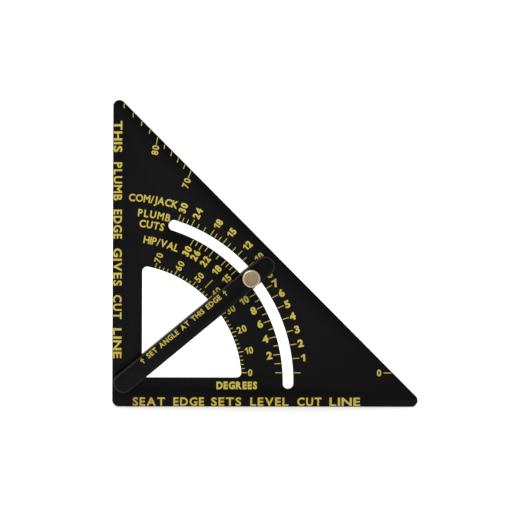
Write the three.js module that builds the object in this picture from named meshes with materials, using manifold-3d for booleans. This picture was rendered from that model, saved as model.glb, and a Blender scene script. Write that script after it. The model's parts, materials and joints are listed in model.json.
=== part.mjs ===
// Adjustable speed square: a right-angled plate with a quarter-round window and an arc slot, and a
// swinging fence made of two bars, one on each face, that pivots at the heel and locks with a thumbscrew.
// Millimetres. Every piece is modelled lying on a bench: x along the seat edge, y up the plumb edge and
// z from the middle of the plate towards the reader. The whole is then stood on its seat edge, so that
// the reader looks along +Y and +Z is up. The origin is the middle of the seat edge.
import * as THREE from "three";
import { mergeVertices } from "three/addons/utils/BufferGeometryUtils.js";
import Module from "manifold-3d";

const wasm = await Module();
wasm.setup();

// ---------------------------------------------------------------- driving dimensions

const LEG = 203.2; // overall length of the seat edge and of the plumb edge: 8 inches
const PLATE_T = 3.2;
const CORNER_R = 4.1; // the three outer corners
const PLATE_CHAMFER = 0.4;

const PIVOT_X = 7.3; // pivot axis, from the plumb edge
const PIVOT_Y = 16.0; // pivot axis, from the seat edge

const WINDOW_R = 78.6; // the window's round side, about the pivot
const PLUMB_RAIL = 19.65; // width of the rail beside the plumb edge
const SEAT_RAIL = 19.15; // width of the rail beside the seat edge
const WINDOW_CORNER_R = 3.2;

const SLOT_R = 109.5; // middle of the arc slot, about the pivot
const SLOT_W = 7.0;
const SLOT_START = rad(-0.4);
const SLOT_END = rad(72.4);

const FRONT_BAR_W = 13.1;
const REAR_BAR_W = 12.0; // a little narrower, so the front bar's edges stay the ones that are read
const BAR_T = 6.0;
const BAR_REACH = 121.6; // from the pivot to the centre of the round tip
const FRONT_BAR_CHAMFER = 0.9;
const REAR_BAR_CHAMFER = 0.4; // small, because the nut's pocket comes near the edges
const BAR_ANGLE = Math.atan2(10, 12); // set for a roof that rises 10 in 12

const GAP = 0.3; // between a bar and the plate, and between other faces that meet
const RUNNING_GAP = 0.2; // round a shaft, and beside a washer

const BOSS_R = 3.0; // the front bar's own boss, which is the hinge pin
const BUSH_WALL = 1.0;
const BUSH_INSET = 0.1; // how far the bush stays inside each face of the plate
const PIVOT_WASHER_R = 5.2;
const PIVOT_WASHER_T = 0.9;
const PIVOT_SCREW_R = 1.95; // M4 thread
const PIVOT_HEAD_R = 4.0;
const PIVOT_HEAD_H = 2.1;
const PIVOT_HEAD_RIM = 0.3;
const CROSS_SPAN = 4.2; // cross recess in the pivot screw's head
const CROSS_W = 0.8;
const CROSS_DEPTH = 1.3;
const FRONT_SKIN = 2.4; // metal left in front of the blind screw hole

const THUMB_R = 5.95;
const THUMB_H = 6.0;
const THUMB_CHAMFER = 1.3;
const THUMB_FOOT = 0.5; // small chamfer at the head's underside
const THUMB_TEETH = 48;
const TOOTH_DEPTH = 0.3;
const SHANK_R = 2.9; // M6 thread
const SHANK_LEAD = 0.7; // chamfer at the tip of the shank
const SHANK_INSET = 0.5; // how far the tip stays inside the rear bar's outer face
const THUMB_WASHER_R = 5.7;
const THUMB_WASHER_T = 1.0;
const NUT_FLATS = 10.0; // thin M6 nut, across flats
const NUT_T = 3.2;
const NUT_EASE = 0.45; // chamfer on the nut's outer corners

const FACET_SAG = 0.012; // how far a round stretch's facets may lie inside the true curve
const PAST = 1; // how far a cutting tool runs past the metal it cuts

// ---------------------------------------------------------------- derived heights, along z

const BAR_INNER = PLATE_T / 2 + GAP;
const BAR_OUTER = BAR_INNER + BAR_T;
const PIVOT_WASHER_LOW = PLATE_T / 2 + RUNNING_GAP;
const PIVOT_WASHER_TOP = PIVOT_WASHER_LOW + PIVOT_WASHER_T;
const PLATE_HOLE_R = BOSS_R + BUSH_WALL + 2 * RUNNING_GAP;
const THUMB_WASHER_LOW = BAR_OUTER + RUNNING_GAP;
const THUMB_WASHER_TOP = THUMB_WASHER_LOW + THUMB_WASHER_T;
const HEAD_LOW = THUMB_WASHER_TOP + RUNNING_GAP;
const HEAD_TOP = HEAD_LOW + THUMB_H;

// ---------------------------------------------------------------- outlines

function rad(degrees) {
  return (degrees * Math.PI) / 180;
}

// How many straight steps a round stretch of this radius needs.
function stepsFor(radius, angle) {
  const step = 2 * Math.acos(1 - FACET_SAG / radius);
  return Math.max(2, Math.ceil(Math.abs(angle) / step));
}

// The points of a round stretch about (x, y), from one angle to the other.
function arc(x, y, radius, from, to) {
  const steps = stepsFor(radius, to - from);
  const points = [];
  for (let i = 0; i <= steps; i++) {
    const a = from + ((to - from) * i) / steps;
    points.push(new THREE.Vector2(x + radius * Math.cos(a), y + radius * Math.sin(a)));
  }
  return points;
}

function circle(radius, x, y) {
  return arc(x, y, radius, 0, 2 * Math.PI).slice(0, -1);
}

function plateOutline() {
  const corner = LEG + Math.SQRT2 * CORNER_R; // where an edge would meet the long side, unrounded
  const tip = corner - CORNER_R / Math.tan(Math.PI / 8);
  return [
    ...arc(CORNER_R, CORNER_R, CORNER_R, -Math.PI, -Math.PI / 2),
    ...arc(tip, CORNER_R, CORNER_R, -Math.PI / 2, Math.PI / 4),
    ...arc(CORNER_R, tip, CORNER_R, Math.PI / 4, Math.PI),
  ];
}

// Two straight sides along the rails and a round side about the pivot, with eased corners.
function windowOutline() {
  const reach = WINDOW_R - WINDOW_CORNER_R;
  const left = PLUMB_RAIL + WINDOW_CORNER_R;
  const low = SEAT_RAIL + WINDOW_CORNER_R;
  const right = PIVOT_X + Math.sqrt(reach ** 2 - (low - PIVOT_Y) ** 2);
  const top = PIVOT_Y + Math.sqrt(reach ** 2 - (left - PIVOT_X) ** 2);
  const from = Math.atan2(low - PIVOT_Y, right - PIVOT_X);
  const to = Math.atan2(top - PIVOT_Y, left - PIVOT_X);
  return [
    ...arc(left, low, WINDOW_CORNER_R, -Math.PI, -Math.PI / 2),
    ...arc(right, low, WINDOW_CORNER_R, -Math.PI / 2, from),
    ...arc(PIVOT_X, PIVOT_Y, WINDOW_R, from, to).slice(1, -1),
    ...arc(left, top, WINDOW_CORNER_R, to, Math.PI),
  ];
}

// An arc of constant width about the pivot, with round ends.
function slotOutline() {
  const half = SLOT_W / 2;
  const end = (angle) => [PIVOT_X + SLOT_R * Math.cos(angle), PIVOT_Y + SLOT_R * Math.sin(angle)];
  return [
    ...arc(PIVOT_X, PIVOT_Y, SLOT_R + half, SLOT_START, SLOT_END).slice(1, -1),
    ...arc(...end(SLOT_END), half, SLOT_END, SLOT_END + Math.PI),
    ...arc(PIVOT_X, PIVOT_Y, SLOT_R - half, SLOT_END, SLOT_START).slice(1, -1),
    ...arc(...end(SLOT_START), half, SLOT_START + Math.PI, SLOT_START + 2 * Math.PI),
  ];
}

function barOutline(width) {
  const half = width / 2;
  return [
    ...arc(0, 0, half, Math.PI / 2, (3 * Math.PI) / 2),
    ...arc(BAR_REACH, 0, half, -Math.PI / 2, Math.PI / 2),
  ];
}

// Straight teeth round a disc, tip and root by turns.
function toothedOutline() {
  const points = [];
  for (let i = 0; i < 2 * THUMB_TEETH; i++) {
    const a = (Math.PI * i) / THUMB_TEETH;
    const r = i % 2 ? THUMB_R - TOOTH_DEPTH : THUMB_R;
    points.push(new THREE.Vector2(r * Math.cos(a), r * Math.sin(a)));
  }
  return points;
}

// ---------------------------------------------------------------- solids

// A slab of an outline between two heights, with an equal chamfer on the edges of both its faces.
function slab(outline, low, high, chamfer = 0, holes = []) {
  const shape = new THREE.Shape(outline);
  shape.holes = holes.map((points) => new THREE.Path(points));
  const geometry = new THREE.ExtrudeGeometry(shape, {
    depth: high - low - 2 * chamfer,
    steps: 1,
    bevelEnabled: chamfer > 0,
    bevelThickness: chamfer,
    bevelSize: chamfer,
    bevelOffset: -chamfer,
    bevelSegments: 1,
  });
  return geometry.translate(0, 0, low + chamfer);
}

// A solid turned about the z axis from [radius, height] points that run counter-clockwise.
function turned(points) {
  const widest = Math.max(...points.map(([r]) => r));
  const profile = points.map(([r, z]) => new THREE.Vector2(r, z));
  const lathe = new THREE.LatheGeometry(profile, stepsFor(widest, 2 * Math.PI));
  return lathe.rotateX(Math.PI / 2);
}

function rod(radius, low, high) {
  return turned([[0, low], [radius, low], [radius, high], [0, high]]);
}

function ring(inner, outer, low, high) {
  return turned([[inner, low], [outer, low], [outer, high], [inner, high], [inner, low]]);
}

function hexPrism(flats, low, high) {
  const radius = flats / 2 / Math.cos(Math.PI / 6);
  const prism = new THREE.CylinderGeometry(radius, radius, high - low, 6);
  return prism.rotateX(Math.PI / 2).rotateZ(Math.PI / 2).translate(0, 0, (low + high) / 2);
}

function toSolid(geometry) {
  const bare = geometry.clone();
  bare.deleteAttribute("normal");
  bare.deleteAttribute("uv");
  const merged = mergeVertices(bare, 1e-4);
  const vertProperties = merged.getAttribute("position").array;
  const triVerts = new Uint32Array(merged.index.array);
  return new wasm.Manifold(new wasm.Mesh({ numProp: 3, vertProperties, triVerts }));
}

function toGeometry(solid) {
  const mesh = solid.getMesh();
  const indexed = new THREE.BufferGeometry();
  indexed.setAttribute("position", new THREE.BufferAttribute(new Float32Array(mesh.vertProperties), 3));
  indexed.setIndex(new THREE.BufferAttribute(new Uint32Array(mesh.triVerts), 1));
  const flat = indexed.toNonIndexed();
  flat.computeVertexNormals();
  return flat;
}

// ---------------------------------------------------------------- plate and pivot

function squarePlate() {
  const holes = [windowOutline(), slotOutline(), circle(PLATE_HOLE_R, PIVOT_X, PIVOT_Y)];
  return slab(plateOutline(), -PLATE_T / 2, PLATE_T / 2, PLATE_CHAMFER, holes);
}

// A plain sleeve in the plate's pivot hole, for the front bar's boss to turn in.
function pivotBush() {
  const inner = BOSS_R + RUNNING_GAP;
  return ring(inner, inner + BUSH_WALL, -PLATE_T / 2 + BUSH_INSET, PLATE_T / 2 - BUSH_INSET);
}

function pivotWasher() {
  return ring(BOSS_R + RUNNING_GAP, PIVOT_WASHER_R, PIVOT_WASHER_LOW, PIVOT_WASHER_TOP);
}

// A countersunk cross-head screw, put in from the back into the front bar's boss.
function pivotScrew() {
  const back = -BAR_OUTER + GAP;
  const neck = back + PIVOT_HEAD_H;
  const tip = BAR_OUTER - FRONT_SKIN - GAP;
  const body = turned([
    [0, back],
    [PIVOT_HEAD_R, back],
    [PIVOT_HEAD_R, back + PIVOT_HEAD_RIM],
    [PIVOT_SCREW_R, neck],
    [PIVOT_SCREW_R, tip - PIVOT_SCREW_R / 4],
    [PIVOT_SCREW_R * 0.75, tip],
    [0, tip],
  ]);
  const wing = new THREE.BoxGeometry(CROSS_SPAN, CROSS_W, 2 * CROSS_DEPTH).translate(0, 0, back);
  const cross = toSolid(wing).add(toSolid(wing.clone().rotateZ(Math.PI / 2)));
  return toGeometry(toSolid(body).subtract(cross));
}

// ---------------------------------------------------------------- the two bars

// A bar along x with round ends, in front of the plate: chamfered on its outer face only, with a
// recess for the pivot washer in its inner face and a clear hole for the thumbscrew.
function plainBar(width, chamfer) {
  const thick = toSolid(slab(barOutline(width), BAR_INNER - 2 * chamfer, BAR_OUTER, chamfer));
  const below = new THREE.BoxGeometry(BAR_REACH + 2 * width, 2 * width, 2 * BAR_T);
  below.translate(BAR_REACH / 2, 0, BAR_INNER - BAR_T);
  const recess = rod(PIVOT_WASHER_R + RUNNING_GAP, BAR_INNER - PAST, PIVOT_WASHER_TOP + RUNNING_GAP);
  const hole = rod(SHANK_R + GAP, BAR_INNER - PAST, BAR_OUTER + PAST).translate(SLOT_R, 0, 0);
  return thick.subtract(toSolid(below)).subtract(toSolid(recess)).subtract(toSolid(hole));
}

// The bar that carries the setting edge. Its boss runs through the plate and takes the pivot screw.
function frontBar() {
  const bossEnd = -BAR_INNER + GAP;
  const bottom = BAR_OUTER - FRONT_SKIN;
  const boss = toSolid(rod(BOSS_R, bossEnd, bottom));
  const screwHole = toSolid(rod(PIVOT_SCREW_R + RUNNING_GAP, bossEnd - PAST, bottom));
  return toGeometry(plainBar(FRONT_BAR_W, FRONT_BAR_CHAMFER).add(boss).subtract(screwHole));
}

// The bar behind the plate, made facing the reader and then turned over about its own length. Its outer
// face has a countersink for the pivot screw and a hexagonal pocket for the nut.
function rearBar() {
  const wide = PIVOT_HEAD_R + GAP;
  const narrow = PIVOT_SCREW_R + GAP;
  const rim = BAR_OUTER - GAP - PIVOT_HEAD_RIM - GAP;
  const screwSeat = turned([
    [0, BAR_INNER - PAST],
    [narrow, BAR_INNER - PAST],
    [narrow, rim - (wide - narrow)],
    [wide, rim],
    [wide, BAR_OUTER + PAST],
    [0, BAR_OUTER + PAST],
  ]);
  const pocketFloor = BAR_OUTER - 2 * GAP - NUT_T;
  const pocket = hexPrism(NUT_FLATS + 2 * RUNNING_GAP, pocketFloor, BAR_OUTER + PAST);
  pocket.translate(SLOT_R, 0, 0);
  const bar = plainBar(REAR_BAR_W, REAR_BAR_CHAMFER).subtract(toSolid(screwSeat)).subtract(toSolid(pocket));
  return toGeometry(bar).rotateX(Math.PI);
}

// ---------------------------------------------------------------- clamp

// A thumbscrew: its head is a toothed prism trimmed by a chamfered disc.
function thumbscrew() {
  const clear = THUMB_R + TOOTH_DEPTH; // outside the teeth
  const disc = turned([
    [0, HEAD_LOW],
    [THUMB_R - THUMB_FOOT, HEAD_LOW],
    [clear, HEAD_LOW + THUMB_FOOT + TOOTH_DEPTH],
    [clear, HEAD_TOP - (THUMB_CHAMFER + TOOTH_DEPTH) / 2],
    [THUMB_R - THUMB_CHAMFER, HEAD_TOP],
    [0, HEAD_TOP],
  ]);
  const head = toSolid(slab(toothedOutline(), HEAD_LOW, HEAD_TOP)).intersect(toSolid(disc));
  const tip = -BAR_OUTER + SHANK_INSET;
  const shank = turned([
    [0, tip],
    [SHANK_R - SHANK_LEAD, tip],
    [SHANK_R, tip + SHANK_LEAD],
    [SHANK_R, HEAD_LOW + PAST],
    [0, HEAD_LOW + PAST],
  ]);
  return toGeometry(head.add(toSolid(shank)));
}

function thumbWasher() {
  return ring(SHANK_R + GAP, THUMB_WASHER_R, THUMB_WASHER_LOW, THUMB_WASHER_TOP);
}

// A thin hex nut held from turning in the rear bar's pocket, its outer corners eased.
function clampNut() {
  const low = -BAR_OUTER + GAP;
  const high = low + NUT_T;
  const across = NUT_FLATS / Math.cos(Math.PI / 6) / 2 + RUNNING_GAP; // outside the corners
  const eased = turned([
    [0, low],
    [NUT_FLATS / 2, low],
    [across, low + NUT_EASE],
    [across, high + PAST],
    [0, high + PAST],
  ]);
  const bore = rod(SHANK_R + RUNNING_GAP, low - PAST, high + PAST);
  const hex = toSolid(hexPrism(NUT_FLATS, low, high)).intersect(toSolid(eased));
  return toGeometry(hex.subtract(toSolid(bore)));
}

// ---------------------------------------------------------------- materials

function material(color, roughness, metalness) {
  return new THREE.MeshStandardMaterial({ color, roughness, metalness });
}

const blackCoat = () => material(0x151417, 0.45, 0.2);
const nickel = () => material(0xb0a58c, 0.35, 1.0);
const zincSteel = () => material(0xa9adb2, 0.4, 1.0);
const acetal = () => material(0xe6e3d8, 0.5, 0.0);

// ---------------------------------------------------------------- assembly

function piece(name, geometry, look) {
  const mesh = new THREE.Mesh(geometry, look);
  mesh.name = name;
  return mesh;
}

const clamp = new THREE.Group(); // on the thumbscrew's axis
clamp.position.x = SLOT_R;
clamp.add(piece("thumbscrew", thumbscrew(), nickel()));
clamp.add(piece("thumbscrew_washer", thumbWasher(), nickel()));
clamp.add(piece("clamp_nut", clampNut(), zincSteel()));

const fence = new THREE.Group(); // turns about the pivot: its x axis runs along the bars
fence.rotation.z = BAR_ANGLE;
fence.add(piece("front_bar", frontBar(), blackCoat()));
fence.add(piece("rear_bar", rearBar(), blackCoat()));
fence.add(piece("front_pivot_washer", pivotWasher(), acetal()));
fence.add(piece("rear_pivot_washer", pivotWasher().rotateX(Math.PI), acetal()));
fence.add(piece("pivot_screw", pivotScrew(), zincSteel()));
fence.add(clamp);

const pivot = new THREE.Group(); // on the pivot axis, square to the plate
pivot.position.set(PIVOT_X, PIVOT_Y, 0);
pivot.add(piece("pivot_bush", pivotBush(), acetal()));
pivot.add(fence);

const bench = new THREE.Group(); // the whole tool, lying on its back
bench.rotation.x = Math.PI / 2;
bench.position.x = -LEG / 2;
bench.add(piece("square_plate", squarePlate(), blackCoat()));
bench.add(pivot);

const square = new THREE.Group();
square.add(bench);

export default square;
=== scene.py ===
import json
import math

import bmesh
import bpy
from mathutils import Matrix, Vector
from mathutils.geometry import tessellate_polygon


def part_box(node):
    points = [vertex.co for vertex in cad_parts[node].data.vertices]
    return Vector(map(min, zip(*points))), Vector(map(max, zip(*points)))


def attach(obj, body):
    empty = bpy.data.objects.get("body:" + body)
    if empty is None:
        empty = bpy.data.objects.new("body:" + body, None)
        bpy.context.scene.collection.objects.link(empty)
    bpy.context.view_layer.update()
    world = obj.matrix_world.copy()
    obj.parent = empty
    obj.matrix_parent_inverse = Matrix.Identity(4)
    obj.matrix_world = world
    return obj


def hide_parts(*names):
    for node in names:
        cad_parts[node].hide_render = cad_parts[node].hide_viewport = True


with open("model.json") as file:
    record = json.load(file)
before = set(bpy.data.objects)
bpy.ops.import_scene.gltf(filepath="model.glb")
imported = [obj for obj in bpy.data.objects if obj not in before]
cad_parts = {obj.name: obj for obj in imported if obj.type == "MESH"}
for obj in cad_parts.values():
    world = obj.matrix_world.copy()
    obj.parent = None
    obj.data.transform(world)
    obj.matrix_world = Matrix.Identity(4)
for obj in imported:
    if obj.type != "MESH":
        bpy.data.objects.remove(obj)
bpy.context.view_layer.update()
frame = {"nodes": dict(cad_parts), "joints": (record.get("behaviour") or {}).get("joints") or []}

# An adjustable speed square, built round its CAD frame. Lengths are in millimetres on a bench: x runs
# along the seat edge from the plumb edge, y up from the seat edge and z from the middle of the plate
# towards the reader. bench() turns them into the frame's metres.

MM = 0.001

# ------------------------------------------------------------ places taken from the frame

joints = {joint["name"]: joint for joint in frame["joints"]}
pivot_at = Vector(joints["fence_swing"]["pos_m"]) / MM
knob_at = Vector(joints["thumbscrew_turn"]["pos_m"]) / MM


def corners(node):
    """The two corners of a CAD node's box, in millimetres."""
    return [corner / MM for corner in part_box(node)]


plate_low = corners("square_plate")[0]
rear_low, rear_high = corners("rear_bar")
thumb_low, thumb_high = corners("thumbscrew")
washer_low, washer_high = corners("thumbscrew_washer")
screw_low, screw_high = corners("pivot_screw")
nut_low, nut_high = corners("clamp_nut")

EDGE_X = plate_low.x  # the plumb edge, in the frame
SEAT_Z = plate_low.z  # the seat edge, in the frame
FACE = -plate_low.y  # the printed face, from the middle of the plate
PIVOT_X = pivot_at.x - EDGE_X
PIVOT_Y = pivot_at.z - SEAT_Z
KNOB_X = knob_at.x - EDGE_X
KNOB_Y = knob_at.z - SEAT_Z
BAR_ANGLE = math.atan2(knob_at.z - pivot_at.z, knob_at.x - pivot_at.x)
SLOT_R = math.hypot(knob_at.z - pivot_at.z, knob_at.x - pivot_at.x)
BAR_INNER = rear_low.y
BAR_OUTER = rear_high.y
HEAD_TOP = -thumb_low.y
SHANK_TIP = -thumb_high.y
WASHER_LOW = -washer_high.y
WASHER_TOP = -washer_low.y
SCREW_BACK = -screw_high.y
SCREW_TIP = -screw_low.y
NUT_BACK = -nut_high.y
NUT_TOP = -nut_low.y

# ------------------------------------------------------------ driving dimensions

LEG = 203.2  # overall length of the seat edge and of the plumb edge: 8 inches
CORNER_R = 4.1  # the three outer corners
PLATE_EDGE_R = 0.4  # rounding round every edge of the plate
WINDOW_R = 78.6  # the window's round side, about the pivot
PLUMB_RAIL = 19.65  # width of the rail beside the plumb edge
SEAT_RAIL = 19.15  # width of the rail beside the seat edge
WINDOW_CORNER_R = 3.2
SLOT_W = 7.0
SLOT_START = math.radians(-0.4)
SLOT_END = math.radians(72.4)
PLATE_HOLE_R = 4.4

FRONT_BAR_W = 13.1
REAR_BAR_W = 12.0
BAR_REACH = 121.6  # from the pivot to the centre of the round tip
FRONT_BAR_CHAMFER = 0.9
REAR_BAR_CHAMFER = 0.4
SOFTEN = 0.12  # how far a machined corner is eased
HOLE_ROUND = 0.2  # rounding at the mouth of the clamp hole
BOSS_R = 3.0  # the front bar's own boss, which is the hinge pin
BOSS_END = -1.6
BOSS_LEAD = 0.2  # small chamfer at its end
RECESS_R = 5.4  # round the plastic washer at the pivot
RECESS_TOP = 2.9
SCREW_HOLE_R = 2.15
CLAMP_HOLE_R = 3.2
SKIN = 2.4  # metal left in front of the blind screw hole
COUNTERSINK_R = 4.3
COUNTERSINK_RIM = 0.9  # depth of the countersink's straight rim
COUNTERSINK_LEAD = 0.15  # small chamfer at its mouth
SCREW_CLEAR_R = 2.25
POCKET_FLATS = 10.4
POCKET_DEPTH = 3.8
POCKET_LEAD = 0.1  # small chamfer at its mouth

THUMB_R = 5.95
THUMB_H = 6.0
THUMB_BEVEL = 1.1
BEVEL_SLOPE = 0.62  # how far the bevel drops for each millimetre outwards
THUMB_FOOT = 0.5
THUMB_TEETH = 48
TOOTH_STEPS = 6  # steps round one tooth
TOOTH_DEPTH = 0.3
SHANK_R = 2.9  # M6 thread
SHANK_LEAD = 0.7
NECK_H = 1.6  # plain shank between the thread and the head
THREAD_PITCH = 1.0
THREAD_DEPTH = 0.45
THREAD_ROWS = 7  # rows of points in one pitch
WASHER_R = 5.7
WASHER_BORE = 3.2
WASHER_EASE = 0.2
NUT_FLATS = 10.0
NUT_BORE = 3.1
NUT_EASE = 0.45
NUT_EASE_STEPS = 4
NUT_LEAD = 0.35
NUT_THREAD_DEPTH = 0.25
NUT_ROWS = 22
SCREW_HEAD_R = 4.0
SCREW_HEAD_H = 2.1
SCREW_R = 1.95  # M4 thread
SCREW_PITCH = 0.7
SCREW_THREAD_DEPTH = 0.3
SCREW_ROWS = 6  # rows of points in one pitch
CROSS_SPAN = 4.2
CROSS_W = 0.8
CROSS_DEPTH = 1.3
CROSS_TAPER = (0.62, 0.8)  # the foot's length and width, as shares of the mouth's

INK_SINK = 0.01  # how far the printed marks reach into the face
INK_PROUD = 0.05  # and stand above it
INK_MARGIN = 0.05  # plain coat between an eased edge and a tick
TICK_W = 0.5

ARC_STEPS = 96  # steps in a full turn of a small round
WIDE_STEPS = 160  # steps along a wide arc
FILLET_STEPS = 4
COLLECTION = bpy.context.scene.collection


def bench(x, y, z):
    return Vector((EDGE_X + x, -z, SEAT_Z + y)) * MM


def bar_place(u, v, z):
    """A point u along the bar from the pivot and v across it."""
    c, s = math.cos(BAR_ANGLE), math.sin(BAR_ANGLE)
    return bench(PIVOT_X + u * c - v * s, PIVOT_Y + u * s + v * c, z)


def turn_place(cx, cy):
    """Places points given about an axis square to the plate."""
    return lambda x, y, z: bench(cx + x, cy + y, z)


knob_place = turn_place(KNOB_X, KNOB_Y)

# ------------------------------------------------------------ outlines, each with an inset


def arc(cx, cy, r, start, end, steps, last=True):
    """Points along an arc, with or without the last one."""
    count = steps + (1 if last else 0)
    return [
        (cx + r * math.cos(start + (end - start) * i / steps),
         cy + r * math.sin(start + (end - start) * i / steps))
        for i in range(count)
    ]


def circle(r, cx=0.0, cy=0.0, steps=ARC_STEPS):
    return arc(cx, cy, r, 0, 2 * math.pi, steps, last=False)


def plate_outline(inset=0.0):
    corner = LEG + math.sqrt(2) * CORNER_R
    tip = corner - CORNER_R / math.tan(math.pi / 8)
    r = CORNER_R - inset
    return (
        arc(CORNER_R, CORNER_R, r, -math.pi, -math.pi / 2, 24)
        + arc(tip, CORNER_R, r, -math.pi / 2, math.pi / 4, 36)
        + arc(CORNER_R, tip, r, math.pi / 4, math.pi, 36)
    )


def window_outline(inset=0.0):
    reach = WINDOW_R - WINDOW_CORNER_R
    left = PLUMB_RAIL + WINDOW_CORNER_R
    low = SEAT_RAIL + WINDOW_CORNER_R
    right = PIVOT_X + math.sqrt(reach ** 2 - (low - PIVOT_Y) ** 2)
    top = PIVOT_Y + math.sqrt(reach ** 2 - (left - PIVOT_X) ** 2)
    start = math.atan2(low - PIVOT_Y, right - PIVOT_X)
    end = math.atan2(top - PIVOT_Y, left - PIVOT_X)
    r = WINDOW_CORNER_R + inset
    return (
        arc(left, low, r, -math.pi, -math.pi / 2, 20)
        + arc(right, low, r, -math.pi / 2, start, 20, last=False)
        + arc(PIVOT_X, PIVOT_Y, WINDOW_R + inset, start, end, WIDE_STEPS, last=False)
        + arc(left, top, r, end, math.pi, 20)
    )


def slot_outline(inset=0.0):
    half = SLOT_W / 2 + inset

    def end_of(angle):
        return PIVOT_X + SLOT_R * math.cos(angle), PIVOT_Y + SLOT_R * math.sin(angle)

    return (
        arc(PIVOT_X, PIVOT_Y, SLOT_R + half, SLOT_START, SLOT_END, WIDE_STEPS, last=False)
        + arc(*end_of(SLOT_END), half, SLOT_END, SLOT_END + math.pi, 32, last=False)
        + arc(PIVOT_X, PIVOT_Y, SLOT_R - half, SLOT_END, SLOT_START, WIDE_STEPS, last=False)
        + arc(*end_of(SLOT_START), half, SLOT_START + math.pi, SLOT_START + 2 * math.pi, 32,
              last=False)
    )


def bar_outline(width, inset=0.0):
    r = width / 2 - inset
    return (
        arc(0, 0, r, math.pi / 2, 3 * math.pi / 2, 48)
        + arc(BAR_REACH, 0, r, -math.pi / 2, math.pi / 2, 48)
    )


def hexagon(flats):
    """A hexagon's outline in ARC_STEPS points, so that it joins a circle's points one to one."""
    points = []
    for i in range(ARC_STEPS):
        a = 2 * math.pi * i / ARC_STEPS
        off = a % (math.pi / 3) - math.pi / 6
        r = flats / 2 / math.cos(off)
        points.append((r * math.cos(a), r * math.sin(a)))
    return points


def fillet(radius):
    """(inset, drop) steps round an edge, from its face to its side."""
    steps = []
    for i in range(FILLET_STEPS + 1):
        a = math.pi / 2 * i / FILLET_STEPS
        steps.append((radius * (1 - math.sin(a)), radius * (1 - math.cos(a))))
    return steps


def chamfer(size):
    """(inset, drop) steps down a flat chamfer whose two corners are eased."""
    ease = SOFTEN
    k = ease / math.sqrt(2)
    return [
        (size + ease * 0.6, 0.0),
        (size + ease * 0.1, ease * 0.08),
        (size - k, k),
        (k, size - k),
        (ease * 0.08, size + ease * 0.1),
        (0.0, size + ease * 0.6),
    ]


# ------------------------------------------------------------ mesh building


class Shell:
    """Collects loops of points and the faces between them, then makes one closed mesh."""

    def __init__(self, place):
        self.place = place
        self.points = []
        self.flat = []
        self.wear = []
        self.faces = []
        self.smooth = []

    def loop(self, outline, z, wear=0.0):
        """Adds an outline's points at height z, with a share of how much bare metal and painted edge
        highlight show there.
        """
        first = len(self.points)
        for x, y in outline:
            self.points.append(self.place(x, y, z))
            self.flat.append(Vector((x, y, 0)))
            self.wear.append(wear)
        return list(range(first, len(self.points)))

    def strip(self, loops):
        """Joins each loop to the next."""
        for a, b in zip(loops, loops[1:]):
            for i in range(len(a)):
                j = (i + 1) % len(a)
                self.faces.append((a[i], a[j], b[j], b[i]))
                self.smooth.append(True)

    def cap(self, *loops):
        """Fills a flat face. The first loop is its rim and the others are its holes."""
        order = [i for loop in loops for i in loop]
        for tri in tessellate_polygon([[self.flat[i] for i in loop] for loop in loops]):
            self.faces.append(tuple(order[i] for i in tri))
            self.smooth.append(False)

    def build(self, name, look, sharp=40):
        mesh = bpy.data.meshes.new(name)
        mesh.from_pydata([tuple(p) for p in self.points], [], self.faces)
        mesh.polygons.foreach_set("use_smooth", self.smooth)
        layer = mesh.attributes.new("wear", "FLOAT", "POINT")
        layer.data.foreach_set("value", self.wear)
        bm = bmesh.new()
        bm.from_mesh(mesh)
        bmesh.ops.remove_doubles(bm, verts=bm.verts, dist=1e-7)
        bmesh.ops.dissolve_degenerate(bm, dist=1e-8, edges=bm.edges)
        bmesh.ops.recalc_face_normals(bm, faces=bm.faces)
        bm.to_mesh(mesh)
        bm.free()
        mesh.set_sharp_from_angle(angle=math.radians(sharp))
        mesh.materials.append(look)
        obj = bpy.data.objects.new(name, mesh)
        COLLECTION.objects.link(obj)
        return obj


def finish_piece(obj, body, slot, *replaced):
    """Puts a piece on its body and hides the CAD nodes that it stands for. slot is not used."""
    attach(obj, body)
    if replaced:
        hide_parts(*replaced)


# ------------------------------------------------------------ materials


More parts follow.
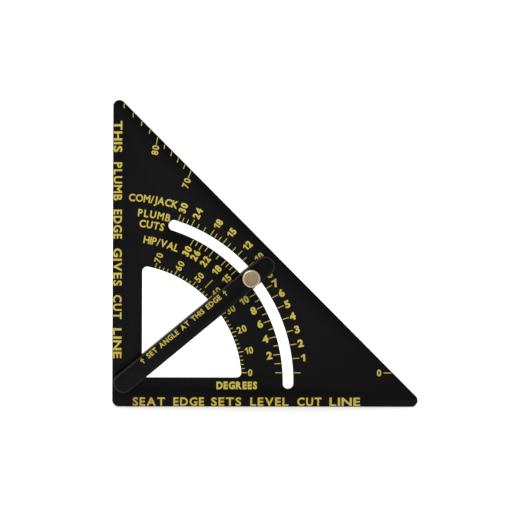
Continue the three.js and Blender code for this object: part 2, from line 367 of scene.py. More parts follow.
class Nodes:
    """Short names for making a node tree."""

    def __init__(self, name):
        self.material = bpy.data.materials.new(name)
        self.material.use_nodes = True
        self.tree = self.material.node_tree
        self.shader = self.tree.nodes["Principled BSDF"]
        self.coords = self.add("ShaderNodeTexCoord").outputs["Object"]

    def add(self, kind, **values):
        node = self.tree.nodes.new(kind)
        for key, value in values.items():
            setattr(node, key, value)
        return node

    def link(self, source, target):
        self.tree.links.new(source, target)

    def noise(self, scale, detail=4.0, rough=0.55, stretch=(1, 1, 1)):
        mapping = self.add("ShaderNodeMapping")
        mapping.inputs["Scale"].default_value = stretch
        self.link(self.coords, mapping.inputs["Vector"])
        node = self.add("ShaderNodeTexNoise")
        node.inputs["Scale"].default_value = scale
        node.inputs["Detail"].default_value = detail
        node.inputs["Roughness"].default_value = rough
        self.link(mapping.outputs["Vector"], node.inputs["Vector"])
        return node.outputs["Fac"]

    def spread(self, value, low, high, out_low=0.0, out_high=1.0):
        node = self.add("ShaderNodeMapRange")
        node.inputs["From Min"].default_value = low
        node.inputs["From Max"].default_value = high
        node.inputs["To Min"].default_value = out_low
        node.inputs["To Max"].default_value = out_high
        self.link(value, node.inputs["Value"])
        return node.outputs["Result"]

    def math(self, operation, a, b=None):
        node = self.add("ShaderNodeMath", operation=operation)
        for socket, value in zip(node.inputs, (a, b)):
            if value is None:
                continue
            if isinstance(value, (int, float)):
                socket.default_value = value
            else:
                self.link(value, socket)
        return node.outputs[0]

    def mix(self, factor, a, b):
        node = self.add("ShaderNodeMix", data_type="RGBA")
        self.link(factor, node.inputs[0])
        for socket, value in ((node.inputs[6], a), (node.inputs[7], b)):  # the two colours
            if isinstance(value, tuple):
                socket.default_value = (*value, 1)
            else:
                self.link(value, socket)
        return node.outputs[2]

    def bump(self, height, depth_mm, strength):
        node = self.add("ShaderNodeBump")
        node.inputs["Strength"].default_value = strength
        node.inputs["Distance"].default_value = depth_mm * MM
        self.link(height, node.inputs["Height"])
        return node.outputs["Normal"]

    def radius_from(self, centre):
        """How far a point is from the axis through centre, square to the plate, in metres, and the
        way to it from the axis."""
        node = self.add("ShaderNodeVectorMath", operation="SUBTRACT")
        node.inputs[1].default_value = centre
        self.link(self.coords, node.inputs[0])
        flat = self.add("ShaderNodeVectorMath", operation="MULTIPLY")
        flat.inputs[1].default_value = (1, 0, 1)
        self.link(node.outputs["Vector"], flat.inputs[0])
        length = self.add("ShaderNodeVectorMath", operation="LENGTH")
        self.link(flat.outputs["Vector"], length.inputs[0])
        return length.outputs["Value"], flat.outputs["Vector"]

    def set(self, **values):
        """Sets or links the shader's sockets, named with underscores for their spaces."""
        for key, value in values.items():
            socket = self.shader.inputs[key.replace("_", " ")]
            if isinstance(value, (int, float)):
                socket.default_value = value
            elif isinstance(value, tuple):
                socket.default_value = (*value, 1)
            else:
                self.link(value, socket)


def black_coat(name, tint=(0.0011, 0.0008, 0.0010)):
    """Satin black coat: a fine pebble, cloudy gloss, and pale grey at the edges, partly metal worn through
    and partly a painted highlight.
    """
    n = Nodes(name)
    cloud = n.noise(45, 5)
    pebble = n.noise(2600, 3)
    rubs = n.noise(420, 6, 0.7)
    pale = tuple(c * 1.6 for c in tint)
    colour = n.mix(n.spread(cloud, 0.3, 0.7), tint, pale)
    edge = n.add("ShaderNodeAttribute", attribute_name="wear").outputs["Fac"]
    worn_and_highlit = n.math("MULTIPLY", edge, n.spread(rubs, 0.35, 0.72))
    # The edges are mixed towards pale grey metal: partly real wear, partly a painted highlight for the light
    # that rounded edges catch.
    colour = n.mix(worn_and_highlit, colour, (0.24, 0.235, 0.23))
    gloss = n.math("ADD", n.spread(cloud, 0.3, 0.7, 0.31, 0.40), n.spread(rubs, 0.3, 0.7, -0.03, 0.05))
    gloss = n.math("SUBTRACT", gloss, n.math("MULTIPLY", worn_and_highlit, 0.12))
    normal = n.bump(pebble, 0.012, 0.55)
    n.set(Base_Color=colour, Roughness=gloss, Metallic=n.math("MULTIPLY", worn_and_highlit, 0.8),
          Specular_IOR_Level=0.11, Normal=normal)
    return n.material


def scale_ink():
    """Yellow printed paint: slightly uneven in colour and rubbed thin in places."""
    n = Nodes("scale_yellow")
    cloud = n.noise(60, 4)
    fleck = n.noise(1500, 5, 0.7)
    colour = n.mix(n.spread(cloud, 0.3, 0.7), (0.50, 0.405, 0.07), (0.60, 0.485, 0.08))
    thin = n.spread(fleck, 0.62, 0.76, 0.0, 0.45)
    colour = n.mix(thin, colour, (0.24, 0.195, 0.06))
    n.set(Base_Color=colour, Roughness=n.spread(fleck, 0.3, 0.7, 0.5, 0.68), Specular_IOR_Level=0.25,
          Normal=n.bump(fleck, 0.01, 0.5))
    return n.material


FINE_RING = 0.16  # spacing of the turning marks
BROAD_RING = 0.71


def turned_nickel(name, centre):
    """Warm nickel, faced on a lathe: fine rings, faint tarnish, a few radial streaks, and a painted highlight
    that makes the bevels and rims lighter.
    """
    n = Nodes(name)
    radius, flat = n.radius_from(centre)
    rings = n.math("SINE", n.math("MULTIPLY", radius, 2 * math.pi / (FINE_RING * MM)))
    broad = n.math("SINE", n.math("MULTIPLY", radius, 2 * math.pi / (BROAD_RING * MM)))
    cloud = n.noise(260, 5)
    fine = n.noise(1900, 4)
    direction = n.add("ShaderNodeVectorMath", operation="NORMALIZE")
    n.link(flat, direction.inputs[0])
    streak = n.add("ShaderNodeTexNoise")
    streak.inputs["Scale"].default_value = 2.2
    streak.inputs["Detail"].default_value = 4.0
    n.link(direction.outputs["Vector"], streak.inputs["Vector"])
    tone = n.math("ADD", n.math("MULTIPLY", cloud, 0.5),
                  n.math("MULTIPLY", streak.outputs["Fac"], 0.5))
    colour = n.mix(n.spread(tone, 0.36, 0.64), (0.30, 0.222, 0.122), (0.385, 0.295, 0.175))
    edge = n.add("ShaderNodeAttribute", attribute_name="wear").outputs["Fac"]
    # Bevels and rims are mixed to a lighter colour: a painted highlight, not a change in the metal.
    colour = n.mix(edge, colour, (0.56, 0.45, 0.365))
    both_rings = n.math("ADD", n.math("MULTIPLY", rings, 0.5), n.math("MULTIPLY", broad, 0.5))
    height = n.math("ADD", both_rings, fine)
    rough = n.math("ADD", n.spread(cloud, 0.3, 0.7, 0.25, 0.36), n.math("MULTIPLY", edge, 0.14))
    n.set(Base_Color=colour, Metallic=1.0, Roughness=rough, Normal=n.bump(height, 0.006, 0.5))
    return n.material


def plated_steel(name):
    """Bright zinc on steel: a cool mottled grey with fine scratches."""
    n = Nodes(name)
    cloud = n.noise(420, 5)
    scratch = n.noise(900, 3, 0.6, (1, 1, 0.12))
    colour = n.mix(n.spread(cloud, 0.3, 0.7), (0.40, 0.42, 0.45), (0.60, 0.61, 0.62))
    n.set(Base_Color=colour, Metallic=1.0, Roughness=n.spread(cloud, 0.3, 0.7, 0.28, 0.42),
          Normal=n.bump(scratch, 0.006, 0.6))
    return n.material


def moulded_acetal():
    """White bearing plastic with a faint moulded grain."""
    n = Nodes("acetal_white")
    grain = n.noise(1200, 4)
    cloud = n.noise(180, 3)
    colour = n.mix(n.spread(cloud, 0.3, 0.7), (0.68, 0.66, 0.60), (0.78, 0.76, 0.71))
    n.set(Base_Color=colour, Roughness=n.spread(grain, 0.3, 0.7, 0.42, 0.56),
          Subsurface_Weight=0.05, Normal=n.bump(grain, 0.01, 0.5))
    return n.material


plate_coat = black_coat("plate_black_coat")
bar_coat = black_coat("bar_black_coat", (0.0014, 0.0010, 0.0010))
ink = scale_ink()
nickel = turned_nickel("turned_nickel", tuple(knob_at * MM))
zinc = plated_steel("zinc_steel")
acetal = moulded_acetal()

# ------------------------------------------------------------ plate


FILLET_WEAR_AND_HIGHLIGHT = (0.0, 0.7, 1.0, 0.5, 0.0)  # shares of an edge's bare metal and painted highlight, from its face to its side


def plate():
    shell = Shell(bench)
    rounds = fillet(PLATE_EDGE_R)
    outlines = (  # each with how much bare metal and painted highlight its edge shows
        (plate_outline, 0.10),
        (window_outline, 0.05),
        (slot_outline, 0.16),
        (lambda inset: circle(PLATE_HOLE_R + inset, PIVOT_X, PIVOT_Y), 0.0),
    )
    tops, bottoms = [], []
    for outline, wear in outlines:
        shown = [wear * share for share in FILLET_WEAR_AND_HIGHLIGHT]
        loops = [shell.loop(outline(inset), FACE - drop, w)
                 for (inset, drop), w in zip(rounds, shown)]
        loops += [shell.loop(outline(inset), -FACE + drop, w)
                  for (inset, drop), w in zip(reversed(rounds), reversed(shown))]
        shell.strip(loops)
        tops.append(loops[0])
        bottoms.append(loops[-1])
    shell.cap(*tops)
    shell.cap(*bottoms)
    return shell.build("square_plate_body", plate_coat)


# ------------------------------------------------------------ bars


CHAMFER_WEAR_AND_HIGHLIGHT = (0.0, 0.30, 0.08, 0.08, 0.30, 0.0)  # bare metal and painted highlight at each of chamfer()'s steps


def bar_sides(shell, sign, width, size):
    """The outside of a bar, from its outer face to its inner face. Returns both end loops."""
    loops = [shell.loop(bar_outline(width, inset), sign * (BAR_OUTER - drop), w)
             for (inset, drop), w in zip(chamfer(size), CHAMFER_WEAR_AND_HIGHLIGHT)]
    loops += [shell.loop(bar_outline(width, inset), sign * (BAR_INNER + drop))
              for inset, drop in reversed(fillet(SOFTEN))]
    shell.strip(loops)
    return loops[0], loops[-1]


def washer_recess(shell, sign, inner_loops):
    """The round recess in a bar's inner face, as far as its floor. Its mouth is added to inner_loops.
    Returns the floor's outer loop."""
    mouth = shell.loop(circle(RECESS_R), sign * BAR_INNER)
    floor = shell.loop(circle(RECESS_R), sign * RECESS_TOP)
    shell.strip([mouth, floor])
    inner_loops.append(mouth)
    return floor


def front_bar():
    shell = Shell(bar_place)
    top, inner = bar_sides(shell, 1, FRONT_BAR_W, FRONT_BAR_CHAMFER)
    rim = [shell.loop(circle(CLAMP_HOLE_R + inset, SLOT_R), BAR_OUTER - drop)
           for inset, drop in fillet(HOLE_ROUND)]
    rim.append(shell.loop(circle(CLAMP_HOLE_R, SLOT_R), BAR_INNER))
    shell.strip(rim)
    inner_loops = [inner, rim[-1]]
    floor = washer_recess(shell, 1, inner_loops)
    shell.cap(top, rim[0])
    shell.cap(*inner_loops)
    boss = [
        floor,
        shell.loop(circle(BOSS_R), RECESS_TOP),
        shell.loop(circle(BOSS_R), BOSS_END + BOSS_LEAD),
        shell.loop(circle(BOSS_R - BOSS_LEAD), BOSS_END),
        shell.loop(circle(SCREW_HOLE_R), BOSS_END),
        shell.loop(circle(SCREW_HOLE_R), BAR_OUTER - SKIN),
    ]
    shell.strip(boss)
    shell.cap(boss[-1])
    return shell.build("front_bar_body", bar_coat)


def pocket_outline(lead=0.0):
    return [(SLOT_R + x, y) for x, y in hexagon(POCKET_FLATS + 2 * lead)]


def rear_bar():
    shell = Shell(bar_place)
    top, inner = bar_sides(shell, -1, REAR_BAR_W, REAR_BAR_CHAMFER)
    pocket = [
        shell.loop(pocket_outline(POCKET_LEAD), -BAR_OUTER),
        shell.loop(pocket_outline(), -BAR_OUTER + POCKET_LEAD),
        shell.loop(pocket_outline(), -BAR_OUTER + POCKET_DEPTH),
        shell.loop(circle(CLAMP_HOLE_R, SLOT_R), -BAR_OUTER + POCKET_DEPTH),
        shell.loop(circle(CLAMP_HOLE_R, SLOT_R), -BAR_INNER),
    ]
    shell.strip(pocket)
    inner_loops = [inner, pocket[-1]]
    floor = washer_recess(shell, -1, inner_loops)
    sink = [
        shell.loop(circle(COUNTERSINK_R + COUNTERSINK_LEAD), -BAR_OUTER),
        shell.loop(circle(COUNTERSINK_R), -BAR_OUTER + COUNTERSINK_LEAD),
        shell.loop(circle(COUNTERSINK_R), -BAR_OUTER + COUNTERSINK_RIM),
        shell.loop(circle(SCREW_CLEAR_R), -BAR_OUTER + COUNTERSINK_RIM + COUNTERSINK_R - SCREW_CLEAR_R),
        shell.loop(circle(SCREW_CLEAR_R), -RECESS_TOP),
        floor,
    ]
    shell.strip(sink)
    shell.cap(top, pocket[0], sink[0])
    shell.cap(*inner_loops)
    return shell.build("rear_bar_body", bar_coat)


# ------------------------------------------------------------ turned pieces


def turned_shell(place, profile, steps, shape=None):
    """A solid turned about z from (radius, height, edge share) points; the edge share is how much painted
    highlight shows on nickel, and zinc takes no notice of it. shape(angle, radius, height) may change the
    radius. The first and last points lie on the axis or meet each other."""
    shell = Shell(place)
    loops = []
    for r, z, wear in profile:
        outline = []
        for i in range(steps):
            a = 2 * math.pi * i / steps
            reach = shape(a, r, z) if shape else r
            outline.append((reach * math.cos(a), reach * math.sin(a)))
        loops.append(shell.loop(outline, z, wear))
    shell.strip(loops)
    return shell


def thread_ridge(angle, z, pitch):
    """How deep a V thread's groove is here, from 0 at the crest to 1 at the root."""
    phase = (z / pitch + angle / (2 * math.pi)) % 1
    return 1 - abs(2 * phase - 1)


def thumbscrew():
    head_low = HEAD_TOP - THUMB_H
    bevel_low = HEAD_TOP - THUMB_BEVEL * BEVEL_SLOPE
    face_r = THUMB_R - THUMB_BEVEL
    thread_top = head_low - NECK_H
    rows = int((thread_top - SHANK_TIP) / THREAD_PITCH * THREAD_ROWS)
    # The third value of each point paints the bevel and rims with a lighter highlight.
    profile = [(0.0, SHANK_TIP, 0.0), (SHANK_R - SHANK_LEAD, SHANK_TIP, 0.0)]
    for i in range(1, rows + 1):
        profile.append((SHANK_R, SHANK_TIP + (thread_top - SHANK_TIP) * i / rows, 0.0))
    profile += [  # under the head, round its foot, up its side, over the bevel and across its face
        (SHANK_R, head_low - 0.15, 0.0),
        (SHANK_R + 0.15, head_low, 0.0),
        (THUMB_R - THUMB_FOOT - 0.1, head_low, 0.0),
        (THUMB_R - THUMB_FOOT + 0.1, head_low + 0.08, 0.3),
        (THUMB_R - 0.08, head_low + THUMB_FOOT - 0.05, 0.2),
        (THUMB_R, head_low + THUMB_FOOT + 0.15, 0.0),
        (THUMB_R, (head_low + bevel_low) / 2, 0.0),
        (THUMB_R, bevel_low - 0.15, 0.1),
        (THUMB_R - 0.06, bevel_low + 0.04, 0.6),
        (THUMB_R - 0.35, bevel_low + 0.22, 1.0),
        (face_r + 0.25, HEAD_TOP - 0.08, 1.0),
        (face_r + 0.05, HEAD_TOP, 0.7),
        (face_r - 0.15, HEAD_TOP, 0.1),
        (face_r - 0.6, HEAD_TOP - 0.04, 0.0),
        (face_r * 0.5, HEAD_TOP - 0.05, 0.0),
        (0.0, HEAD_TOP - 0.05, 0.0),
    ]

    def shape(angle, r, z):
        if z <= thread_top and r == SHANK_R:
            run_in = min(1.0, (z - SHANK_TIP) / SHANK_LEAD)
            run_out = min(1.0, (thread_top - z) / THREAD_PITCH)
            crest = SHANK_R - SHANK_LEAD * (1 - run_in)
            return crest - THREAD_DEPTH * thread_ridge(angle, z, THREAD_PITCH) * run_out * run_in
        if r > THUMB_R - 0.3 and z > head_low:  # the teeth run out at the bevel and at the foot
            lobe = 0.5 + 0.5 * math.cos(THUMB_TEETH * angle)
            fade = min(1.0, max(0.0, (HEAD_TOP - 0.2 - z) / 0.55), (z - head_low) / 0.3)
            return r - TOOTH_DEPTH * (1 - lobe ** 0.7) * fade
        return r

    shell = turned_shell(knob_place, profile, THUMB_TEETH * TOOTH_STEPS, shape)
    return shell.build("thumbscrew_knob", nickel, 50)


def thumbscrew_washer():
    """The flat washer under the thumbscrew's head."""
    ease = WASHER_EASE
    # The third values paint the washer's eased edges with a lighter highlight.
    profile = [
        (WASHER_BORE, WASHER_LOW + ease, 0.0),
        (WASHER_BORE + ease, WASHER_LOW, 0.3),
        (WASHER_R - ease, WASHER_LOW, 0.3),
        (WASHER_R - ease * 0.3, WASHER_LOW + ease * 0.3, 0.8),
        (WASHER_R, WASHER_LOW + ease, 0.3),
        (WASHER_R, WASHER_TOP - ease, 0.3),
        (WASHER_R - ease * 0.3, WASHER_TOP - ease * 0.3, 1.0),
        (WASHER_R - ease, WASHER_TOP, 0.5),
        (WASHER_BORE + ease, WASHER_TOP, 0.3),
        (WASHER_BORE, WASHER_TOP - ease, 0.0),
        (WASHER_BORE, WASHER_LOW + ease, 0.0),
    ]
    return turned_shell(knob_place, profile, ARC_STEPS).build("thumbscrew_washer_ring", nickel)


def clamp_nut():
    """A thin hex nut with its corners eased on the side that shows."""
    half = NUT_FLATS / 2
    corner_r = half / math.cos(math.pi / 6)
    profile = [(NUT_BORE + NUT_LEAD, NUT_BACK, 0.0), (half - 0.15, NUT_BACK, 0.0)]
    for i in range(1, NUT_EASE_STEPS + 1):
        share = i / NUT_EASE_STEPS
        profile.append((half + (corner_r - half) * share, NUT_BACK + NUT_EASE * share, 0.2))
    profile += [
        (corner_r, NUT_TOP - 0.08, 0.2),
        (corner_r - 0.08, NUT_TOP, 0.2),
        (NUT_BORE + NUT_LEAD, NUT_TOP, 0.0),
    ]
    profile += [(NUT_BORE, NUT_TOP - 0.3 - (NUT_TOP - NUT_BACK - 0.6) * i / NUT_ROWS, 0.0)
                for i in range(NUT_ROWS + 1)]
    profile.append(profile[0])

    def shape(angle, r, z):
        if r == NUT_BORE:
            return NUT_BORE + NUT_THREAD_DEPTH * thread_ridge(angle, z, THREAD_PITCH)
        across = (angle - BAR_ANGLE) % (math.pi / 3) - math.pi / 6
        return min(r, half / math.cos(across))

    return turned_shell(knob_place, profile, ARC_STEPS, shape).build("clamp_nut_hex", zinc)


def pivot_screw():
    """A countersunk screw: its cross recess is cut by a boolean and kept as part of the mesh."""
    neck = SCREW_BACK + SCREW_HEAD_H
    rows = int((SCREW_TIP - neck) / SCREW_PITCH * SCREW_ROWS)
    profile = [
        (0.0, SCREW_BACK, 0.0),
        (SCREW_HEAD_R - 0.12, SCREW_BACK, 0.0),
        (SCREW_HEAD_R - 0.03, SCREW_BACK + 0.04, 0.3),
        (SCREW_HEAD_R, SCREW_BACK + 0.14, 0.2),
        (SCREW_HEAD_R, SCREW_BACK + 0.3, 0.0),
    ]
    profile += [(SCREW_R, neck + (SCREW_TIP - 0.5 - neck) * i / rows, 0.0) for i in range(rows + 1)]
    profile += [(SCREW_R * 0.75, SCREW_TIP, 0.0), (0.0, SCREW_TIP, 0.0)]

    def shape(angle, r, z):
        if r == SCREW_R and z > neck + 0.3:
            return SCREW_R - SCREW_THREAD_DEPTH * thread_ridge(angle, z, SCREW_PITCH)
        return r

    screw = turned_shell(turn_place(PIVOT_X, PIVOT_Y), profile, ARC_STEPS, shape).build(
        "pivot_screw_cross", zinc)
    for turn in (0, math.pi / 2):
        wing = Shell(lambda x, y, z, t=turn: bench(
            PIVOT_X + x * math.cos(BAR_ANGLE + t) - y * math.sin(BAR_ANGLE + t),
            PIVOT_Y + x * math.sin(BAR_ANGLE + t) + y * math.cos(BAR_ANGLE + t), z))
        mouth = [(sx * CROSS_SPAN / 2, sy * CROSS_W / 2) for sx, sy in ((-1, -1), (1, -1), (1, 1), (-1, 1))]
        foot = [(x * CROSS_TAPER[0], y * CROSS_TAPER[1]) for x, y in mouth]
        loops = [wing.loop(mouth, SCREW_BACK - 0.5), wing.loop(mouth, SCREW_BACK),
                 wing.loop(foot, SCREW_BACK + CROSS_DEPTH)]
        wing.strip(loops)
        wing.cap(loops[0])
        wing.cap(loops[-1])
        tool = wing.build("cutter", zinc)
        cut = screw.modifiers.new("cross", "BOOLEAN")
        cut.operation = "DIFFERENCE"
        cut.solver = "EXACT"
        cut.object = tool
        graph = bpy.context.evaluated_depsgraph_get()
        done = bpy.data.meshes.new_from_object(screw.evaluated_get(graph))
        screw.modifiers.clear()
        screw.data = done
        bpy.data.objects.remove(tool)
    return screw


# ------------------------------------------------------------ lettering and marks

glyph_store = {}
ONE_H = 0.7  # the figure 1, in the font's units at size 1
ONE_STEM_X = 0.20
ONE_STEM_W = 0.085
ONE_FLAG_DROP = 0.17


def figure_one(weight):
    """A figure 1 with a flag, as a closed mesh in the same units as the font's characters."""
    stem = ONE_STEM_X
    flag = ONE_H - ONE_FLAG_DROP
    outline = [(stem, 0), (stem + weight, 0), (stem + weight, ONE_H), (stem + weight * 0.25, ONE_H),
               (0.0, flag), (0.0, flag - weight * 0.95), (stem, flag)]
    count = len(outline)
    points = [Vector((x, y, z)) for z in (0, 1) for x, y in outline]
    faces = [tuple(reversed(range(count))), tuple(range(count, 2 * count))]
    faces += [(i, (i + 1) % count, count + (i + 1) % count, count + i) for i in range(count)]
    return points, faces, stem + weight


def glyph(character, bold):
    """A character's points, faces and width, as a closed mesh in the font's units: its baseline is at
    0, x starts at 0 and z runs from 0 to 1."""
    key = (character, bold)
    if key in glyph_store:
        return glyph_store[key]
    if character == "1":
        glyph_store[key] = figure_one(ONE_STEM_W + 2 * bold)
        return glyph_store[key]
    curve = bpy.data.curves.new("glyph", "FONT")
    curve.body = character
    curve.size = 1.0
    curve.resolution_u = 3
    curve.offset = bold
    curve.extrude = 0.5
    obj = bpy.data.objects.new("glyph", curve)
    COLLECTION.objects.link(obj)
    graph = bpy.context.evaluated_depsgraph_get()
    mesh = bpy.data.meshes.new_from_object(obj.evaluated_get(graph))
    bpy.data.objects.remove(obj)
    bm = bmesh.new()
    bm.from_mesh(mesh)
    bmesh.ops.remove_doubles(bm, verts=bm.verts, dist=1e-5)
    bm.verts.index_update()
    points = [v.co.copy() for v in bm.verts]
    faces = [tuple(v.index for v in f.verts) for f in bm.faces]
    bm.free()
    low = min(p.x for p in points)
    wide = max(p.x for p in points) - low
    points = [Vector((p.x - low, p.y, p.z + 0.5)) for p in points]
    glyph_store[key] = (points, faces, wide)
    return glyph_store[key]


CAP = max(p.y for p in glyph("H", 0.0)[0])  # the font's cap height


class Marks:
    """Raised ink, gathered into one mesh."""

    def __init__(self, place, face):
        self.place = place
        self.face = face
        self.points = []
        self.faces = []

    def add(self, points, faces):
        first = len(self.points)
        low, thick = self.face - INK_SINK, INK_SINK + INK_PROUD
        self.points += [self.place(x, y, low + thick * z) for x, y, z in points]
        self.faces += [tuple(first + i for i in face) for face in faces]

    def stroke(self, x0, y0, x1, y1, width=TICK_W):
        dx, dy = x1 - x0, y1 - y0
        length = math.hypot(dx, dy)
        nx, ny = -dy / length * width / 2, dx / length * width / 2
        flat = [(x0 - nx, y0 - ny), (x1 - nx, y1 - ny), (x1 + nx, y1 + ny), (x0 + nx, y0 + ny)]
        points = [(x, y, 0) for x, y in flat] + [(x, y, 1) for x, y in flat]
        self.add(points, [(0, 3, 2, 1), (4, 5, 6, 7), (0, 1, 5, 4), (1, 2, 6, 5), (2, 3, 7, 6), (3, 0, 4, 7)])

    def character(self, character, x, y, angle, cap, stretch, bold):
        """One character, centred on (x, y) and turned by angle."""
        points, faces, wide = glyph(character, bold)
        k = cap / CAP
        c, s = math.cos(angle), math.sin(angle)
        out = []
        for p in points:
            u = (p.x - wide / 2) * k * stretch
            v = p.y * k - cap / 2
            out.append((x + u * c - v * s, y + u * s + v * c, p.z))
        self.add(out, faces)

    def text(self, text, x, y, angle, cap, bold, gap, stretch=1.0, width=None):
        """A run of characters centred on (x, y). gap is a share of the cap height. width, if given,
        sets how long the run is."""
        k = cap / CAP

        def advance(ch, squeeze):
            return 0.5 * cap if ch == " " else glyph(ch, bold)[2] * k * squeeze

        def run(squeeze):
            return sum(advance(ch, squeeze) for ch in text) + gap * cap * (len(text) - 1)

        if width is not None:
            inked = sum(glyph(ch, bold)[2] * k for ch in text if ch != " ")
            stretch = (width - (run(1.0) - inked)) / inked
        total = run(stretch)
        at = -total / 2
        c, s = math.cos(angle), math.sin(angle)
        for ch in text:
            wide = advance(ch, stretch)
            if ch != " ":
                mid = at + wide / 2
                self.character(ch, x + mid * c, y + mid * s, angle, cap, stretch, bold)
            at += wide + gap * cap

    def bent_text(self, text, radius, start, end, cap, stretch, bold):
        """A word bent round the pivot: its first and last characters are centred on start and end."""
        wide = [glyph(ch, bold)[2] * cap / CAP * stretch for ch in text]
        span = radius * (start - end) - (wide[0] + wide[-1]) / 2 - sum(wide[1:-1])
        gap = span / (len(text) - 1)
        at = 0.0
        for i, ch in enumerate(text):
            angle = start - at / radius
            self.character(ch, PIVOT_X + radius * math.cos(angle), PIVOT_Y + radius * math.sin(angle),
                           angle - math.pi / 2, cap, stretch, bold)
            if i + 1 < len(text):
                at += wide[i] / 2 + gap + wide[i + 1] / 2

    def build(self, name):
        mesh = bpy.data.meshes.new(name)
        mesh.from_pydata([tuple(p) for p in self.points], [], self.faces)
        bm = bmesh.new()
        bm.from_mesh(mesh)
        bmesh.ops.recalc_face_normals(bm, faces=bm.faces)
        bm.to_mesh(mesh)
        bm.free()
        mesh.materials.append(ink)
        obj = bpy.data.objects.new(name, mesh)
        COLLECTION.objects.link(obj)
        return obj


HALF_BAR = FRONT_BAR_W / 2  # from the middle of the bar to its setting edge


def on_line(angle, t):
    """A point t along the setting edge's line when the bar stands at this angle."""
    c, s = math.cos(angle), math.sin(angle)
    return PIVOT_X - HALF_BAR * s + t * c, PIVOT_Y + HALF_BAR * c + t * s


def along(radius):
    """How far along the setting edge's line this radius about the pivot is."""
    return math.sqrt(radius ** 2 - HALF_BAR ** 2)


def tick(marks, angle, start, end):
    marks.stroke(*on_line(angle, start), *on_line(angle, end))


# The lettering of a number: its cap height, how wide it is stretched and how bold it is.
DEGREE_STYLE = {"cap": 4.2, "stretch": 0.94, "bold": 0.026}
ONE_DIGIT_STYLE = {"cap": 4.5, "stretch": 1.10, "bold": 0.045}
TWO_DIGIT_STYLE = {"cap": 4.3, "stretch": 0.92, "bold": 0.05}

# Where the marks end and the numbers are centred, along the setting edge's line.
DEGREE_MAJOR_END = 82.1
DEGREE_MINOR_END = 80.65
DEGREE_ONE_DIGIT = 84.2
DEGREE_TWO_DIGITS = 85.8
MITRE_TICK = (82.7, 89.75)  # the long tick at 45 degrees


def number(marks, angle, t, text, style):
    marks.text(text, *on_line(angle, t), angle, gap=0.14, **style)


def degree_scale():
    """Degrees from 0 to 70, round the window."""
    marks = Marks(bench, FACE)
    start = along(WINDOW_R + PLATE_EDGE_R + INK_MARGIN)
    for degrees in range(0, 71, 2):
        tick(marks, math.radians(degrees), start, DEGREE_MINOR_END if degrees % 10 else DEGREE_MAJOR_END)
    for degrees in range(0, 71, 10):
        place = DEGREE_TWO_DIGITS if degrees else DEGREE_ONE_DIGIT
        number(marks, math.radians(degrees), place, str(degrees), DEGREE_STYLE)
    tick(marks, math.radians(45), *MITRE_TICK)
    return marks.build("degree_scale")


RISES = [*range(0, 19), 20, 22, 24, 26, 28, 30]  # the rises that have a tick, in inches
COMMON_RUN = 12.0  # inches of run under a common rafter
HIP_RUN = 12.0 * math.sqrt(2)  # and under a hip
COMMON_LABELS = [1, 2, 3, 4, 5, 6, 7, 8, 9, 10, 12, 15, 18, 24, 30]
HIP_LABELS = [2, 4, 6, 8, 10, 12, 15, 18, 22, 26, 30]


def rise_scale(name, run, majors, labels, start, major_end, minor_end, one_digit, two_digits):
    """A scale of rises. majors are the long ticks; the last two values are where numbers are centred."""
    marks = Marks(bench, FACE)
    for rise in RISES:
        tick(marks, math.atan(rise / run), start, major_end if rise in majors else minor_end)
    for rise in labels:
        if rise < 10:
            number(marks, math.atan(rise / run), one_digit, str(rise), ONE_DIGIT_STYLE)
        else:
            number(marks, math.atan(rise / run), two_digits, str(rise), TWO_DIGIT_STYLE)
    return marks.build(name)


def common_scale():
    """Rises for common and jack rafters, outside the slot."""
    start = along(SLOT_R + SLOT_W / 2 + PLATE_EDGE_R + INK_MARGIN)
    return rise_scale("common_scale", COMMON_RUN, [0, *COMMON_LABELS], COMMON_LABELS, start,
                      major_end=117.6, minor_end=116.35, one_digit=120.3, two_digits=122.4)


def hip_scale():
    """Rises for hip and valley rafters, inside the slot."""
    start = along(SLOT_R - SLOT_W / 2 - PLATE_EDGE_R - INK_MARGIN)
    return rise_scale("hip_scale", HIP_RUN, [0, 1, *HIP_LABELS], HIP_LABELS, start,
                      major_end=100.9, minor_end=102.2, one_digit=98.3, two_digits=96.75)


LONG_EDGE_MARGIN = 0.04
EDGE_MAJOR_LENGTH = 5.3
EDGE_MINOR_LENGTH = 3.0
EDGE_ONE_DIGIT = 8.3  # from the long side in to the middle of a number
EDGE_TWO_DIGITS = 8.7


def long_edge_scale():
    """Degrees read at the long side: 0, then 70 to 88."""
    marks = Marks(bench, FACE)
    reach = LEG + math.sqrt(2) * CORNER_R - PIVOT_X - PIVOT_Y
    margin = (PLATE_EDGE_R + LONG_EDGE_MARGIN) * math.sqrt(2)

    def edge_at(angle):
        c, s = math.cos(angle), math.sin(angle)
        return (reach - margin - TICK_W / 2 * abs(c - s) - HALF_BAR * (c - s)) / (c + s)

    for degrees in [0, *range(70, 89, 2)]:
        angle = math.radians(degrees)
        edge = edge_at(angle)
        major = degrees in (0, 70, 80)
        tick(marks, angle, edge, edge - (EDGE_MAJOR_LENGTH if major else EDGE_MINOR_LENGTH))
        if major:
            inwards = EDGE_TWO_DIGITS if degrees else EDGE_ONE_DIGIT
            number(marks, angle, edge - inwards, str(degrees), DEGREE_STYLE)
    return marks.build("long_edge_scale")


NAME_STYLE = {"cap": 4.6, "stretch": 0.92, "bold": 0.026}
WINDOW_WORD = (82.65, 14.05)  # the middle of the word under the window
WINDOW_WORD_STYLE = {"cap": 4.5, "bold": 0.05, "gap": 0.12, "width": 27.0}


